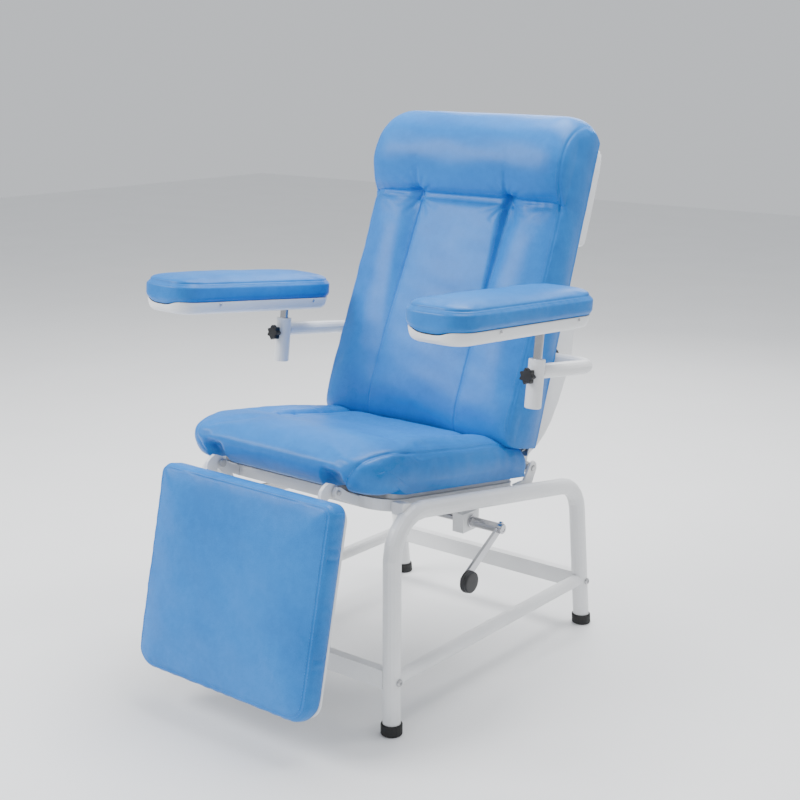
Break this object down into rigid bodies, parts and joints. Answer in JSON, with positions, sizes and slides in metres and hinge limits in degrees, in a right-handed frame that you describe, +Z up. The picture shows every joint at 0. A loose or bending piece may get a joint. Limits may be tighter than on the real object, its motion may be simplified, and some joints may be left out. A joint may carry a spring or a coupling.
{
  "type": "patient recliner chair",
  "caption": "Padded patient chair on a white tube frame: a side crank reclines the back and lifts the leg rest; armrests slide, swivel and tilt.",
  "frame": {"origin": "on the floor, under the middle of the chair's outer box", "axes": "+Z up, the chair faces -Y, its own left side is +X"},
  "size_m": [0.9144, 1.0306, 1.2204],
  "materials": {
    "white_paint": "satin",
    "white_abs": "satin",
    "blue_upholstery": "satin",
    "black_rubber": "matte",
    "black_plastic": "matte",
    "chrome_plate": "polished",
    "bright_steel": "satin",
    "seat_plywood": "matte",
    "nut_brass": "satin",
    "steel_chrome_screws": "polished"
  },
  "bodies": {
    "base": {"side_frame_L": "white_paint", "side_frame_R": "white_paint", "side_stretcher_L": "white_paint", "side_stretcher_R": "white_paint", "cross_member_front": "white_paint", "cross_member_rear": "white_paint", "foot_front_L": "black_rubber", "foot_front_R": "black_rubber", "foot_rear_L": "black_rubber", "foot_rear_R": "black_rubber", "frame_bolt_front_L": "bright_steel", "frame_bolt_front_R": "bright_steel", "frame_bolt_rear_L": "bright_steel", "frame_bolt_rear_R": "bright_steel", "seat_frame": "white_paint", "seat_board": "seat_plywood", "seat_cushion": "blue_upholstery", "seat_bracket_front_L": "white_paint", "seat_bracket_front_R": "white_paint", "seat_bracket_rear_L": "white_paint", "seat_bracket_rear_R": "white_paint", "back_pivot_rod": "bright_steel", "legrest_lug_L": "white_paint", "legrest_lug_R": "white_paint", "legrest_bolt_L": "bright_steel", "legrest_bolt_R": "bright_steel", "crank_housing": "white_paint", "gearbox_bracket": "white_paint"},
    "backrest": {"backrest_frame": "white_paint", "torque_tube": "white_paint", "back_cushion": "blue_upholstery", "back_shell": "white_abs", "arm_bush_L": "black_plastic", "arm_bush_R": "black_plastic"},
    "legrest": {"legrest_pad": "blue_upholstery", "legrest_panel": "white_abs", "legrest_hook_L": "white_paint", "legrest_hook_R": "white_paint"},
    "leg_link": {"leg_link": "bright_steel"},
    "screw_nut": {"screw_nut": "nut_brass"},
    "lead_screw": {"lead_screw": "bright_steel", "bevel_gear_screw": "bright_steel"},
    "crank_shaft": {"crank_shaft": "chrome_plate", "bevel_gear_input": "bright_steel", "crank_arm": "chrome_plate"},
    "crank_knob": {"crank_knob": "black_plastic"},
    "arm_bracket_L": {"arm_bracket_L": "white_paint"},
    "arm_post_L": {"arm_post_L": "chrome_plate"},
    "armrest_L": {"arm_tray_L": "white_abs", "arm_pad_L": "blue_upholstery", "arm_screw_front_L": "steel_chrome_screws", "arm_screw_rear_L": "steel_chrome_screws"},
    "arm_knob_L": {"arm_knob_L": "black_plastic"},
    "arm_bracket_R": {"arm_bracket_R": "white_paint"},
    "arm_post_R": {"arm_post_R": "chrome_plate"},
    "armrest_R": {"arm_tray_R": "white_abs", "arm_pad_R": "blue_upholstery", "arm_screw_front_R": "steel_chrome_screws", "arm_screw_rear_R": "steel_chrome_screws"},
    "arm_knob_R": {"arm_knob_R": "black_plastic"}
  },
  "joints": [
    {"name": "back_recline", "type": "hinge", "parent": "base", "child": "backrest", "pos_m": [0, 0.25687, 0.437], "axis": [-1, 0, 0], "range_deg": [0, 65]},
    {"name": "legrest_lift", "type": "hinge", "parent": "base", "child": "legrest", "pos_m": [0, -0.33013, 0.509], "axis": [-1, 0, 0], "range_deg": [0, 65.5]},
    {"name": "nut_travel", "type": "slide", "parent": "base", "child": "screw_nut", "axis": [0, -0.9877, 0.1561], "range_m": [0, 0.0965]},
    {"name": "link_swing", "type": "hinge", "parent": "backrest", "child": "leg_link", "pos_m": [-0.148, 0.30522, 0.36109], "axis": [1, 0, 0], "range_deg": [0, 66]},
    {"name": "crank_turn", "type": "hinge", "parent": "base", "child": "crank_shaft", "pos_m": [0.33, 0.01187, 0.376], "axis": [1, 0, 0], "continuous": true},
    {"name": "screw_turn", "type": "hinge", "parent": "base", "child": "lead_screw", "pos_m": [0.1, 0.01187, 0.376], "axis": [0, 0.9877, -0.1561], "continuous": true},
    {"name": "crank_knob_spin", "type": "hinge", "parent": "crank_shaft", "child": "crank_knob", "pos_m": [0.34, -0.11534, 0.29651], "axis": [1, 0, 0], "continuous": true},
    {"name": "arm_tilt_L", "type": "hinge", "parent": "backrest", "child": "arm_bracket_L", "pos_m": [0.25, 0.3256, 0.68035], "axis": [1, 0, 0], "range_deg": [-30, 25]},
    {"name": "arm_height_L", "type": "slide", "parent": "arm_bracket_L", "child": "arm_post_L", "axis": [0, 0.1219, 0.9925], "range_m": [-0.06, 0.045]},
    {"name": "arm_swivel_L", "type": "hinge", "parent": "arm_post_L", "child": "armrest_L", "pos_m": [0.362, 0.1009, 0.8074], "axis": [0, -0.0558, -0.9984], "range_deg": [-30, 45]},
    {"name": "arm_clamp_turn_L", "type": "hinge", "parent": "arm_bracket_L", "child": "arm_knob_L", "pos_m": [0.362, 0.0879, 0.70148], "axis": [0, -0.9925, 0.1219], "continuous": true},
    {"name": "arm_tilt_R", "type": "hinge", "parent": "backrest", "child": "arm_bracket_R", "pos_m": [-0.25, 0.3256, 0.68035], "axis": [1, 0, 0], "range_deg": [-30, 25]},
    {"name": "arm_height_R", "type": "slide", "parent": "arm_bracket_R", "child": "arm_post_R", "axis": [0, 0.1219, 0.9925], "range_m": [-0.018, 0.05]},
    {"name": "arm_swivel_R", "type": "hinge", "parent": "arm_post_R", "child": "armrest_R", "pos_m": [-0.362, 0.09561, 0.7643], "axis": [0, 0.0958, 0.9954], "range_deg": [-30, 45]},
    {"name": "arm_clamp_turn_R", "type": "hinge", "parent": "arm_bracket_R", "child": "arm_knob_R", "pos_m": [-0.362, 0.0879, 0.70148], "axis": [0, -0.9925, 0.1219], "continuous": true}
  ],
  "couplings": [
    {"joint": "legrest_lift", "follows": "back_recline", "ratio": 1},
    {"joint": "nut_travel", "follows": "back_recline", "m_per_rad": 0.084181},
    {"joint": "link_swing", "follows": "back_recline", "ratio": 1},
    {"joint": "screw_turn", "follows": "crank_turn", "ratio": -1}
  ]
}
